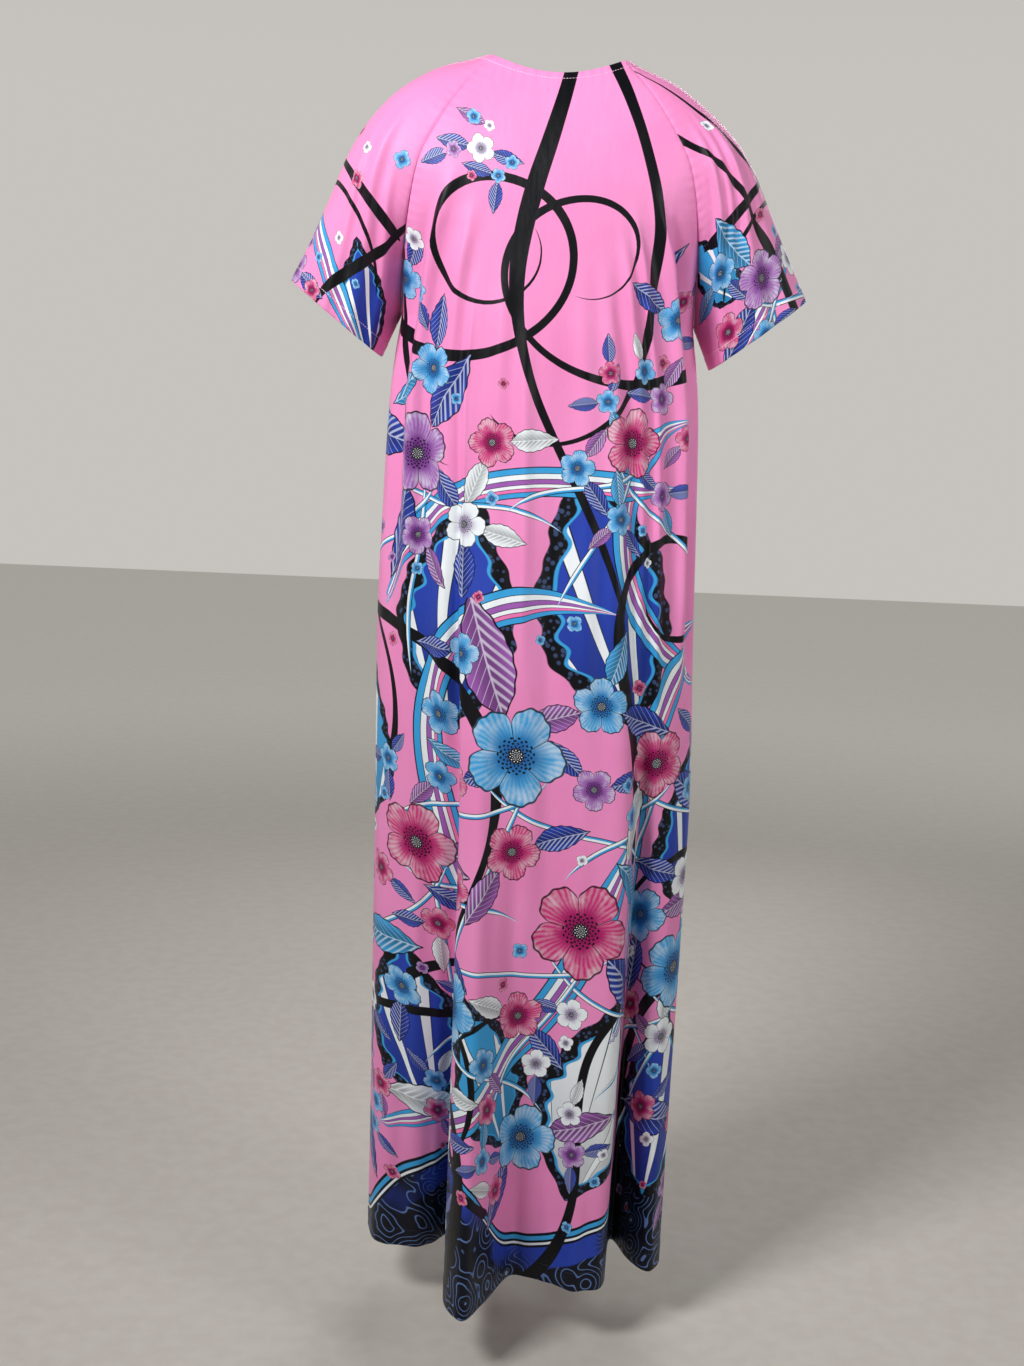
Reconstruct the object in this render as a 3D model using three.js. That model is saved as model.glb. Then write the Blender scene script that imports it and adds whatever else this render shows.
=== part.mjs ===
import * as THREE from "three";

// A floor-length pull-on kaftan, built as four walls of cloth: back, front and two raglan sleeves.
// Millimetres. Origin midway between the two neck points at the shoulders.
// X runs to the wearer's right, Y to the wearer's front, Z up.

// Driving sizes
const WALL = 2;              // thickness of each wall of cloth
const SEAM_GAP = 0.3;        // space left between two pieces along a seam
const LENGTH = 1355;         // neck point to hem
const UNDERARM = 275;        // level where the two raglan seams and the side seam meet
const SLEEVE_HEM = 335;      // last level of the sleeve
const FOLD_TOP = 540;        // level where the skirt folds begin
const BODY_COLUMNS = 54;     // steps from side seam to side seam
const SLEEVE_COLUMNS = 26;   // steps from back seam to front seam

// A table is given as its column names and its rows, and kept as one list for each column.
function table(names, rows) {
  const columns = {};
  names.forEach((name, k) => { columns[name] = rows.map((row) => row[k]); });
  return columns;
}

// Raglan seams, right half. turn: angle in degrees by which the body cloth leaves the seam towards
// the back or front. sleeveTurn: the same for the sleeve cloth, negative where it turns back.
const RAGLAN_BACK = table(["level", "x", "y", "z", "turn", "sleeveTurn"], [
  [0, 69, -40, -3, 52, 52],
  [40, 98, -68, -40, 24, 24],
  [80, 121, -82, -76, 18, 14],
  [120, 141, -86, -116, 24, 4],
  [165, 151, -72, -165, 40, -20],
  [215, 157, -40, -215, 66, -58],
  [275, 160, 6, -275, 82, -90],
]);
const RAGLAN_FRONT = table(["level", "x", "y", "z", "turn", "sleeveTurn"], [
  [0, 60, 50, -46, 58, 58],
  [40, 80, 72, -74, 30, 30],
  [80, 102, 88, -104, 18, 14],
  [120, 122, 94, -140, 22, 4],
  [165, 141, 82, -182, 38, -20],
  [215, 153, 50, -225, 64, -58],
  [275, 160, 6, -275, 82, -90],
]);

// Side seam of the body below the underarm, right half. calmBack and calmFront: the smooth line
// that the middle of the cloth follows past the corner at the underarm.
const SIDE = table(["level", "x", "y"], [
  [275, 160, 6], [318, 166, 5], [360, 170, 4], [470, 174, 2], [600, 177, 0],
  [760, 178, 0], [950, 177, 0], [1150, 175, 0], [1355, 174, 0],
]);
const CALM_BACK = table(["level", "y"], [[165, -72], [215, -40], [275, -14], [360, 0], [470, 2]]);
const CALM_FRONT = table(["level", "y"], [[165, 82], [215, 50], [275, 24], [360, 8], [470, 2]]);

// Centre lines of back and front
const CENTRE_BACK = table(["level", "y", "z"], [
  [0, -62, -22], [40, -82, -60], [80, -95, -99], [120, -102, -137], [165, -106, -180],
  [215, -108, -226], [275, -108, -280], [360, -106, -360], [470, -106, -470], [600, -112, -600],
  [760, -113, -760], [950, -111, -950], [1150, -108, -1150], [1355, -106, -1355],
]);
const CENTRE_FRONT = table(["level", "y", "z"], [
  [0, 76, -112], [40, 92, -142], [80, 106, -170], [120, 117, -196], [165, 124, -222],
  [215, 127, -250], [275, 126, -288], [360, 119, -360], [470, 112, -470], [600, 109, -600],
  [760, 108, -760], [950, 107, -950], [1150, 106, -1150], [1355, 105, -1355],
]);

// Outer lines of the two sleeves from the neck over the shoulder to the hem, both given for the
// right half. The right shoulder hangs a little lower, as it does in the photograph.
// reach: half depth of the sleeve there. pull: length over which the cloth leaves the seam.
const OUTER = ["level", "x", "y", "z", "reach", "pull"];
const TOP_LEFT = table(OUTER, [
  [0, 80, 4, 1, 16, 6], [40, 129, 2, -14, 44, 22], [80, 170, 0, -39, 58, 32],
  [120, 200, 0, -71, 64, 38], [165, 221, 1, -105, 66, 46], [215, 239, 2, -148, 68, 58],
  [275, 258, 4, -192, 70, 72], [335, 281, 5, -240, 72, 73],
]);
const TOP_RIGHT = table(OUTER, [
  [0, 80, 4, -1, 16, 6], [40, 126, 2, -22, 44, 20], [80, 165, 0, -50, 58, 28],
  [120, 194, 0, -78, 64, 34], [165, 216, 1, -109, 66, 44], [215, 236, 2, -150, 68, 57],
  [275, 257, 4, -192, 70, 72], [335, 281, 5, -240, 72, 73],
]);

// Underarm seam of the sleeve, right half
const UNDER = table(["level", "x", "y", "z"], [[275, 160, 6, -275], [335, 180, 5, -318]]);

// Plan of the hem from the left side seam to the right one: the ends of the skirt folds.
// share runs from -1 at the left seam to 1 at the right seam.
const HEM_BACK = table(["share", "x", "y"], [
  [-1, -170, 55], [-0.86, -160, 20], [-0.64, -124, 6], [-0.47, -90, 12], [-0.385, -66, 22],
  [-0.35, -69, -60], [-0.315, -70, -122], [-0.27, -52, -164], [-0.2, -28, -130], [-0.07, 6, -62],
  [0.09, 48, -74], [0.21, 84, -92], [0.29, 112, -62], [0.325, 117, 0], [0.365, 122, 40],
  [0.47, 140, 0], [0.63, 160, -30], [0.84, 179, -10], [1, 182, 40],
]);
const HEM_FRONT = table(["share", "x", "y"], [
  [-1, -170, 55], [-0.86, -165, 100], [-0.68, -138, 130], [-0.54, -108, 108], [-0.44, -90, 74],
  [-0.33, -84, 126], [-0.2, -58, 166], [-0.06, -20, 150], [0.08, 12, 106], [0.22, 28, 96],
  [0.34, 64, 158], [0.46, 98, 140], [0.6, 112, 90], [0.74, 132, 104], [0.88, 172, 100], [1, 182, 40],
]);

// Soft folds: place on the share scale, half width, the two levels over which the fold grows in,
// the two over which it dies out, and how far it pushes the cloth in x and y.
const SOFT = ["at", "half", "start", "full", "hold", "end", "dx", "dy"];
const SOFT_BACK = table(SOFT, [
  [-0.8, 0.055, 140, 230, 480, 640, 4, 1.5], [-0.66, 0.05, 110, 180, 480, 640, -2, -4],
  [-0.46, 0.05, 130, 230, 620, 800, 0, -5], [-0.36, 0.03, 200, 330, 520, 640, 0, -2.5],
  [-0.21, 0.045, 190, 330, 640, 800, 0, -4], [-0.1, 0.03, 240, 360, 560, 700, 0, -2.5],
  [0.14, 0.045, 200, 330, 600, 760, 0, -4], [0.25, 0.035, 180, 300, 560, 700, 0, -3.5],
  [0.37, 0.035, 150, 260, 600, 760, 0, -5], [0.47, 0.03, 130, 230, 600, 720, 0, -4],
  [0.64, 0.05, 120, 220, 560, 700, 3, -6], [0.8, 0.055, 140, 230, 560, 700, -8, 2],
]);
const SOFT_FRONT = table(SOFT, [
  [-0.72, 0.05, 150, 240, 520, 680, -2, 4], [-0.46, 0.05, 180, 280, 600, 760, 0, 5],
  [-0.28, 0.04, 240, 360, 600, 760, 0, 3.5], [-0.1, 0.045, 260, 380, 600, 760, 0, 3],
  [0.12, 0.045, 260, 380, 620, 760, 0, 3.5], [0.3, 0.04, 240, 360, 600, 760, 0, 4],
  [0.48, 0.045, 180, 280, 600, 760, 0, 5], [0.72, 0.05, 150, 240, 520, 680, 2, 4],
]);
const SOFT_LEFT = table(SOFT, [
  [-0.8, 0.045, 120, 200, 500, 600, 0, -3], [-0.62, 0.07, 60, 170, 500, 600, 0, -4],
  [-0.44, 0.05, 90, 200, 500, 600, 0, -3], [0.6, 0.07, 80, 190, 500, 600, 0, 4],
]);
const SOFT_RIGHT = table(SOFT, [
  [-0.78, 0.045, 70, 150, 500, 600, 0, -4.5], [-0.66, 0.04, 60, 150, 500, 600, 0, -3],
  [-0.5, 0.06, 60, 150, 500, 600, 0, -5], [-0.3, 0.07, 90, 200, 500, 600, 0, -3],
  [0.6, 0.07, 80, 190, 500, 600, 0, 4],
]);

// Reading of a table column at any level
function hermite(xs, ys, slopes, at) {
  const x = Math.min(Math.max(at, xs[0]), xs[xs.length - 1]);
  let k = 0;
  while (k < xs.length - 2 && x >= xs[k + 1]) k += 1;
  const h = xs[k + 1] - xs[k];
  const t = (x - xs[k]) / h;
  const u = 1 - t;
  return (1 + 2 * t) * u * u * ys[k] + t * u * u * h * slopes[k]
    + t * t * (3 - 2 * t) * ys[k + 1] - t * t * u * h * slopes[k + 1];
}

// Slopes that never overshoot the table: the weighted harmonic mean of the steps on each side
function steadySlopes(xs, ys) {
  const steps = ys.slice(1).map((y, k) => (y - ys[k]) / (xs[k + 1] - xs[k]));
  return ys.map((_, k) => {
    if (k === 0) return steps[0];
    if (k === ys.length - 1) return steps[k - 1];
    if (steps[k - 1] * steps[k] <= 0) return 0;
    const before = xs[k] - xs[k - 1];
    const after = xs[k + 1] - xs[k];
    const a = 2 * after + before;
    const b = after + 2 * before;
    return (a + b) / (a / steps[k - 1] + b / steps[k]);
  });
}

// Slopes that round every corner: the parabola through each row and its two neighbours
function roundSlopes(xs, ys) {
  const steps = ys.slice(1).map((y, k) => (y - ys[k]) / (xs[k + 1] - xs[k]));
  return ys.map((_, k) => {
    if (k === 0) return steps[0];
    if (k === ys.length - 1) return steps[k - 1];
    const before = xs[k] - xs[k - 1];
    const after = xs[k + 1] - xs[k];
    return (steps[k - 1] * after + steps[k] * before) / (before + after);
  });
}

const steady = (columns, key, name) => {
  const slopes = steadySlopes(columns[key], columns[name]);
  return (at) => hermite(columns[key], columns[name], slopes, at);
};
const rounded = (columns, key, name) => {
  const slopes = roundSlopes(columns[key], columns[name]);
  return (at) => hermite(columns[key], columns[name], slopes, at);
};

function bezier(a, b, c, d, t) {
  const u = 1 - t;
  return u * u * u * a + 3 * u * u * t * b + 3 * u * t * t * c + t * t * t * d;
}

function ease(t) {
  const c = Math.min(Math.max(t, 0), 1);
  return c * c * (3 - 2 * c);
}

const radians = (degrees) => degrees * Math.PI / 180;

// Sum of the soft folds at one point of a piece
function softPush(folds, level, share) {
  const push = [0, 0];
  folds.at.forEach((at, k) => {
    const across = Math.exp(-(((share - at) / folds.half[k]) ** 2));
    const down = ease((level - folds.start[k]) / (folds.full[k] - folds.start[k]));
    const out = ease((level - folds.hold[k]) / (folds.end[k] - folds.hold[k]));
    push[0] += across * down * (1 - out) * folds.dx[k];
    push[1] += across * down * (1 - out) * folds.dy[k];
  });
  return push;
}

// Surface of the back or front: a quarter arc from the centre line to the seam on each side,
// blended below FOLD_TOP towards the plan of the hem. share runs from -1 to 1.
function bodySurface(raglan, calm, centre, hem, soft, sign) {
  const seam = {
    x: steady(raglan, "level", "x"), y: steady(raglan, "level", "y"), z: steady(raglan, "level", "z"),
  };
  const side = { x: steady(SIDE, "level", "x"), y: steady(SIDE, "level", "y") };
  const calmY = steady(calm, "level", "y");
  const calmEnd = calm.level[calm.level.length - 1];
  const turn = steady({
    level: raglan.level.concat([360]), turn: raglan.turn.concat([90]),
  }, "level", "turn");
  const centreY = rounded(centre, "level", "y");
  const centreZ = rounded(centre, "level", "z");
  const hemX = rounded(hem, "share", "x");
  const hemY = rounded(hem, "share", "y");
  const hemWide = SIDE.x[SIDE.x.length - 1];
  const hemDeep = centre.y[centre.y.length - 1];
  return (level, share) => {
    const high = level < UNDERARM;
    const sx = high ? seam.x(level) : side.x(level);
    const sy = high ? seam.y(level) : side.y(level);
    const sz = high ? seam.z(level) : -level;
    let ry = sy;
    if (level > calm.level[0] && level < calmEnd) ry = calmY(level);
    const cy = centreY(level);
    const cz = centreZ(level);
    const angle = radians(turn(level));
    const t = Math.abs(share);
    const way = Math.sign(share);
    const full = angle / (Math.PI / 2);
    const run = Math.hypot(sx, ry - cy);
    const near = sx * (0.4 + 0.15 * full);
    const far = 0.33 * (1 - full) * run + 0.5523 * full * Math.abs(ry - cy);
    let x = bezier(0, near, sx - far * Math.cos(angle), sx, t);
    let y = bezier(cy, cy, ry + sign * far * Math.sin(angle), ry, t);
    y += (sy - ry) * t ** 8;
    const z = cz + (sz - cz) * (x / sx) ** 2;
    x *= way;
    const q = Math.min(Math.max((level - FOLD_TOP) / (LENGTH - FOLD_TOP), 0), 1);
    const lean = 0.5 * ease((level - 140) / 420) + 0.5 * ease(q / 0.38);
    if (lean > 0) {
      const baseX = way * bezier(0, 0.55 * hemWide, hemWide, hemWide, t);
      const baseY = bezier(hemDeep, hemDeep, 0.4477 * hemDeep, 0, t);
      const wide = hemX(way) - way * hemWide;
      x += lean * (hemX(share) - baseX - wide * t ** 3) + ease(q / 0.38) * wide * t ** 3;
      y += q ** 1.25 * (hemY(share) - baseY);
    }
    const push = softPush(soft, level, share);
    return new THREE.Vector3(x + push[0], y + push[1], z);
  };
}

// Surface of a sleeve: two quarter arcs from the outer line to the back and front seams.
// share runs from -1 at the back seam over 0 at the outer line to 1 at the front seam.
function sleeveSurface(outer, soft, way) {
  const last = (list) => list[list.length - 1];
  const half = (raglan) => {
    const calm = { level: raglan.level.slice(0, -1).concat([last(UNDER.level)]) };
    ["x", "y", "z"].forEach((name) => { calm[name] = raglan[name].slice(0, -1).concat([last(UNDER[name])]); });
    calm.turn = raglan.sleeveTurn.slice(0, -1).concat([-90]);
    const parts = {};
    ["x", "y", "z", "turn"].forEach((name) => { parts[name] = steady(calm, "level", name); });
    parts.seam = {};
    ["x", "y", "z"].forEach((name) => {
      const above = steady(raglan, "level", name);
      const below = steady(UNDER, "level", name);
      parts.seam[name] = (level) => (level < UNDERARM ? above(level) : below(level));
    });
    return parts;
  };
  const back = half(RAGLAN_BACK);
  const front = half(RAGLAN_FRONT);
  const top = {};
  ["x", "y", "z", "reach", "pull"].forEach((name) => { top[name] = rounded(outer, "level", name); });
  return (level, share) => {
    const part = share > 0 ? front : back;
    const sign = share > 0 ? -1 : 1;
    const sx = part.x(level);
    const sy = part.y(level);
    const sz = part.z(level);
    const angle = radians(part.turn(level));
    const ox = top.x(level);
    const oy = top.y(level);
    const oz = top.z(level);
    const away = Math.hypot(ox - sx, oz - sz);
    const pull = top.pull(level);
    const outX = pull * Math.cos(angle) * (ox - sx) / away;
    const outZ = pull * Math.cos(angle) * (oz - sz) / away;
    const outY = pull * sign * Math.sin(angle);
    const t = 1 - Math.abs(share);
    const corner = (1 - t) ** 4;
    const x = bezier(sx, sx + outX, ox, ox, t) + corner * (part.seam.x(level) - sx);
    const y = bezier(sy, sy + outY, oy - sign * top.reach(level), oy, t) + corner * (part.seam.y(level) - sy);
    const z = bezier(sz, sz + outZ, oz, oz, t) + corner * (part.seam.z(level) - sz);
    const push = softPush(soft, level, share);
    return new THREE.Vector3(way * (x + push[0]), y + push[1], z);
  };
}

// Unit vector out of the cloth, from two small steps on the surface
function outward({ surface, end, flip }, level, share) {
  const h = 0.5;
  const k = 0.002;
  const down = surface(Math.min(level + h, end), share).sub(surface(Math.max(level - h, 0), share));
  const across = surface(level, Math.min(share + k, 1)).sub(surface(level, Math.max(share - k, -1)));
  const normal = down.cross(across).normalize();
  return flip ? normal.negate() : normal;
}

// A wall of cloth over a grid of the surface: outer skin half a seam gap inside the surface, inner
// skin WALL further in, both drawn back from the seams by half a gap, and four narrow edges.
// Along a seam where the two pieces run on smoothly, both walls are mitred to their mean normal.
function clothWall(name, piece, levels, shares, neighbour, material) {
  const { surface, flip } = piece;
  const rows = levels.length;
  const columns = shares.length;
  const outer = [];
  const inner = [];
  levels.forEach((level) => {
    shares.forEach((share, c) => {
      const point = surface(level, share);
      if (c === 0 || c === columns - 1) {
        const next = surface(level, shares[c === 0 ? 1 : columns - 2]);
        point.add(next.sub(point).setLength(SEAM_GAP / 2));
      }
      const normal = outward(piece, level, share);
      if (c === 0 || c === columns - 1) {
        const [other, place] = neighbour(level, Math.sign(share));
        const theirs = outward(other, level, place);
        if (normal.dot(theirs) > 0.3) normal.add(theirs).normalize();
      }
      outer.push(point.clone().addScaledVector(normal, -SEAM_GAP / 2));
      inner.push(point.clone().addScaledVector(normal, -SEAM_GAP / 2 - WALL));
    });
  });
  const count = rows * columns;
  const index = [];
  const quad = (a, b, c, d) => {
    if (flip) index.push(a, c, b, a, d, c);
    else index.push(a, b, c, a, c, d);
  };
  for (let r = 0; r < rows - 1; r += 1) {
    for (let c = 0; c < columns - 1; c += 1) {
      const a = r * columns + c;
      const b = a + columns;
      quad(a, b, b + 1, a + 1);
      quad(count + a, count + a + 1, count + b + 1, count + b);
    }
  }
  for (let c = 0; c < columns - 1; c += 1) {
    const a = c;
    const b = (rows - 1) * columns + c;
    quad(a, a + 1, count + a + 1, count + a);
    quad(b, count + b, count + b + 1, b + 1);
  }
  for (let r = 0; r < rows - 1; r += 1) {
    const a = r * columns;
    const b = a + columns - 1;
    quad(a, count + a, count + a + columns, a + columns);
    quad(b, b + columns, count + b + columns, count + b);
  }
  const geometry = new THREE.BufferGeometry();
  const flat = outer.concat(inner).flatMap((p) => [p.x, p.y, p.z]);
  geometry.setAttribute("position", new THREE.Float32BufferAttribute(flat, 3));
  geometry.setIndex(index);
  geometry.computeVertexNormals();
  const mesh = new THREE.Mesh(geometry, material);
  mesh.name = name;
  return mesh;
}

// Columns spaced by an even mix of the share scale and the length of the hem edge
function hemColumns(surface, count) {
  const fine = Array.from({ length: 401 }, (_, k) => -1 + k / 200);
  const points = fine.map((share) => surface(LENGTH, share));
  const lengths = points.map((p, k) => (k === 0 ? 0 : p.distanceTo(points[k - 1])));
  const total = lengths.reduce((sum, value) => sum + value, 0);
  let walked = 0;
  const marks = fine.map((share, k) => {
    walked += lengths[k];
    return 0.55 * walked / total + 0.45 * k / 400;
  });
  return Array.from({ length: count + 1 }, (_, n) => {
    const want = n / count;
    let k = 0;
    while (k < 399 && marks[k + 1] < want) k += 1;
    return fine[k] + (want - marks[k]) / (marks[k + 1] - marks[k]) / 200;
  });
}

const even = (from, to, steps) => Array.from({ length: steps + 1 }, (_, k) => from + (to - from) * k / steps);

// Levels of the grids: the same from the neck to the underarm, so that the seams meet row by row
const YOKE_LEVELS = [0, 14, 30, 50, 74, 100, 128, 158, 188, 217, 246, UNDERARM];
const BODY_LEVELS = YOKE_LEVELS.concat([
  306, 340, 385, 435, 490, 545, 595, 640, 690, 750, 820, 900, 990, 1080, 1170, 1262, LENGTH,
]);
const SLEEVE_LEVELS = YOKE_LEVELS.concat([305, SLEEVE_HEM]);

const cloth = (name, colour) => new THREE.MeshStandardMaterial({
  name, color: colour, roughness: 0.55, metalness: 0, side: THREE.FrontSide,
});

const back = {
  surface: bodySurface(RAGLAN_BACK, CALM_BACK, CENTRE_BACK, HEM_BACK, SOFT_BACK, -1), end: LENGTH, flip: false,
};
const front = {
  surface: bodySurface(RAGLAN_FRONT, CALM_FRONT, CENTRE_FRONT, HEM_FRONT, SOFT_FRONT, 1), end: LENGTH, flip: true,
};
const left = { surface: sleeveSurface(TOP_LEFT, SOFT_LEFT, -1), end: SLEEVE_HEM, flip: true };
const right = { surface: sleeveSurface(TOP_RIGHT, SOFT_RIGHT, 1), end: SLEEVE_HEM, flip: false };

// What each piece meets at a level of its left (-1) or right (1) edge: the other piece and its edge
const backMeets = (level, edge) => {
  if (level >= UNDERARM) return [front, edge];
  return edge < 0 ? [left, -1] : [right, -1];
};
const frontMeets = (level, edge) => {
  if (level >= UNDERARM) return [back, edge];
  return edge < 0 ? [left, 1] : [right, 1];
};
const sleeveMeets = (own, bodyEdge) => (level, edge) => {
  if (level >= UNDERARM) return [own, -edge];
  return edge < 0 ? [back, bodyEdge] : [front, bodyEdge];
};

const group = new THREE.Group();
group.name = "kaftan";
group.add(clothWall("back", back, BODY_LEVELS, hemColumns(back.surface, BODY_COLUMNS), backMeets,
  cloth("printed_knit_back", 0xe87ab8)));
group.add(clothWall("front", front, BODY_LEVELS, hemColumns(front.surface, BODY_COLUMNS), frontMeets,
  cloth("printed_knit_front", 0xe47ab4)));
group.add(clothWall("sleeve_left", left, SLEEVE_LEVELS, even(-1, 1, SLEEVE_COLUMNS), sleeveMeets(left, -1),
  cloth("printed_knit_sleeve_left", 0xe676b6)));
group.add(clothWall("sleeve_right", right, SLEEVE_LEVELS, even(-1, 1, SLEEVE_COLUMNS), sleeveMeets(right, 1),
  cloth("printed_knit_sleeve_right", 0xe676b6)));

export default group;
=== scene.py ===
import math

import bpy
import numpy as np
from mathutils import Matrix, Vector


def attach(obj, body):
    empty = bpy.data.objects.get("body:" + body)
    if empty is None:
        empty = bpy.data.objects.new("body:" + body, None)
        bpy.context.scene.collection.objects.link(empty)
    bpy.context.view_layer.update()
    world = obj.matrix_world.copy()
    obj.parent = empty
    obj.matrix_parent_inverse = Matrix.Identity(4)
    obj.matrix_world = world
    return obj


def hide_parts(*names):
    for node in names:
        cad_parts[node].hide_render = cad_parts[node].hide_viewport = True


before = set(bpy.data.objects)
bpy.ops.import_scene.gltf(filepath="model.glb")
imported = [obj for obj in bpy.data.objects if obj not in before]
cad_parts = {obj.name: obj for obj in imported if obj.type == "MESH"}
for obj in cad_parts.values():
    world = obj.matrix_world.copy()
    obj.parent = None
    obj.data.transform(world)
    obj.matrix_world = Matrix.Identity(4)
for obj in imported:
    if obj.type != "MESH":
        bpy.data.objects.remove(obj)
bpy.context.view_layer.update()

# Camera
# It stands 1.95 m behind the kaftan and looks at the back, tilted 8.7 degrees down. It is rolled by
# 2.4 degrees, because the whole kaftan leans a little to the right in the picture.
DOWN = math.radians(8.71)
ROLL = math.radians(2.4)
scene = bpy.context.scene


def put(name, data):
    """A new object in the scene."""
    thing = bpy.data.objects.new(name, data)
    scene.collection.objects.link(thing)
    return thing


camera_data = bpy.data.cameras.new("camera")
camera_data.sensor_width = 36
camera_data.lens = 46.1
camera = put("camera", camera_data)
scene.camera = camera
sight = Vector((0, math.cos(DOWN), -math.sin(DOWN)))
camera.matrix_world = (Matrix.Translation((-0.022, -1.95, -0.375))
                       @ sight.to_track_quat("-Z", "Y").to_matrix().to_4x4()
                       @ Matrix.Rotation(ROLL, 4, "Z"))
scene.view_settings.view_transform = "Standard"

# Floor and light
# A plain pale floor just under the hem, lit a little from below away from the kaftan, and a pale
# surround that is brightest on the far side and darker overhead. One soft lamp stands at the left
# of the camera, a weaker one at the right and one on the far side.
FLOOR_Z = -1.43
FLOOR_HALF = 9


class Shade:
    """One socket of a material's node tree. Sums, products and powers of shades add Math nodes."""

    def __init__(self, tree, socket):
        self.tree = tree
        self.socket = socket

    def node(self, kind, settings, values, out=0):
        """Adds a node: settings first, then its input sockets by name or number. The stops of a
        ramp are pairs of place and colour, and each colour holds up to the next stop."""
        made = self.tree.nodes.new(kind)
        for name, value in settings.items():
            if name == "stops":
                ramp = made.color_ramp
                ramp.interpolation = "CONSTANT"
                while len(ramp.elements) < len(value):
                    ramp.elements.new(1)
                for element, (place, colour) in zip(ramp.elements, value):
                    element.position = place
                    element.color = colour
            else:
                setattr(made, name, value)
        for name, value in values.items():
            if isinstance(value, Shade):
                self.tree.links.new(value.socket, made.inputs[name])
            else:
                made.inputs[name].default_value = value
        return Shade(self.tree, made.outputs[out])

    def math(self, operation, *others, clamp=False):
        """One Math node on this shade and the others."""
        values = dict(enumerate((self,) + others))
        return self.node("ShaderNodeMath", {"operation": operation, "use_clamp": clamp}, values)

    def __add__(self, other):
        return self.math("ADD", other)

    def __sub__(self, other):
        return self.math("SUBTRACT", other)

    def __rsub__(self, other):
        return self.math("MULTIPLY_ADD", -1.0, other)

    def __mul__(self, other):
        return self.math("MULTIPLY", other)

    def __truediv__(self, other):
        return self.math("DIVIDE", other)

    def __pow__(self, other):
        return self.math("POWER", other)

    def __abs__(self):
        return self.math("ABSOLUTE")

    def over(self, limit, soft=0.02):
        """0 below the limit and 1 above it, with a change as wide as soft."""
        return self.math("SUBTRACT", limit).math("MULTIPLY_ADD", 1 / soft, 0.5, clamp=True)

    def under(self, limit, soft=0.02):
        """1 below the limit and 0 above it."""
        return self.math("SUBTRACT", limit).math("MULTIPLY_ADD", -1 / soft, 0.5, clamp=True)

    def ease(self, low, high):
        """Smooth step from 0 at low to 1 at high."""
        return self.node("ShaderNodeMapRange", {"interpolation_type": "SMOOTHSTEP"},
                         {0: self, 1: low, 2: high})

    def parts(self):
        """The three components of a vector."""
        split = self.tree.nodes.new("ShaderNodeSeparateXYZ")
        self.tree.links.new(self.socket, split.inputs[0])
        return [Shade(self.tree, socket) for socket in split.outputs]

    def read(self, name, out=1):
        """The mesh attribute of that name, as a vector, or with out=0 as a colour."""
        return self.node("ShaderNodeAttribute", {"attribute_name": name}, {}, out)

    def mix(self, a, b):
        """Colour a where this mask is 0 and b where it is 1."""
        return self.node("ShaderNodeMix", {"data_type": "RGBA"}, {0: self, 6: a, 7: b}, out=2)

    def toward(self, other, share, blend="MIX"):
        """This colour with a constant share of another laid on it or multiplied into it."""
        return self.node("ShaderNodeMix", {"data_type": "RGBA", "blend_type": blend},
                         {0: share, 6: self, 7: other}, out=2)

    def noise(self, place, scale, detail=2.0):
        """Cloudy noise of 0 to 1."""
        values = {"Vector": place, "Scale": scale, "Detail": detail}
        return self.node("ShaderNodeTexNoise", {}, values)


def start_material(name, settings):
    """A material with one Principled shader. Returns it, its root shade for new nodes, and the
    shader node. settings are constants for the shader's own sockets."""
    material = bpy.data.materials.new(name)
    material.use_nodes = True
    shader = material.node_tree.nodes["Principled BSDF"]
    for key, value in settings.items():
        shader.inputs[key].default_value = value
    return material, Shade(material.node_tree, None), shader


def feed(shade, shader, name):
    """Links a shade to a socket of the shader."""
    shade.tree.links.new(shade.socket, shader.inputs[name])


def colour(red, green, blue):
    """A screen colour of 0 to 255 as the linear colour that shaders take."""
    rgb = np.array([red, green, blue]) / 255
    linear = np.where(rgb > 0.04045, ((rgb + 0.055) / 1.055) ** 2.4, rgb / 12.92)
    return tuple(float(value) for value in linear) + (1.0,)


floor_mesh = bpy.data.meshes.new("floor")
corners = (-1, -1), (1, -1), (1, 1), (-1, 1)
floor_mesh.from_pydata([(x * FLOOR_HALF, y * FLOOR_HALF, FLOOR_Z) for x, y in corners], [],
                       [(0, 1, 2, 3)])
floor = put("floor", floor_mesh)
floor_material, root, shader = start_material("floor", {"Roughness": 0.8, "Emission Strength": 0.24})
place = root.node("ShaderNodeTexCoord", {}, {}, out=3)
cloudy = root.noise(place, 40.0, 4.0).ease(0.3, 0.7)
feed(cloudy.mix(colour(206, 200, 192), colour(211, 206, 198)), shader, "Base Color")
side, ahead, _ = place.parts()
far_off = ((side * side + ahead * ahead) ** 0.5).ease(0.7, 4.5)
feed(far_off.mix((0, 0, 0, 1), colour(255, 251, 244)), shader, "Emission Color")
floor_mesh.materials.append(floor_material)

world = bpy.data.worlds.new("surround")
world.use_nodes = True
background = world.node_tree.nodes["Background"]
background.inputs["Color"].default_value = colour(198, 195, 190)
_, beyond, above = Shade(world.node_tree, None).node("ShaderNodeTexCoord", {}, {}).parts()
glow = (beyond.ease(-0.5, 0.6) * 0.6 + 0.4) * (1 - above.ease(0.15, 0.85) * 0.75)
feed(glow, background, "Strength")
scene.world = world


def soft_lamp(name, place, aim, size, power):
    """A square lamp at place, turned towards aim, with a grid over it that narrows its beam."""
    data = bpy.data.lights.new(name, "AREA")
    data.energy = power
    data.size = size
    data.spread = math.radians(115)
    lamp = put(name, data)
    lamp.location = place
    lamp.rotation_euler = (Vector(aim) - Vector(place)).to_track_quat("-Z", "Y").to_euler()


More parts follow.
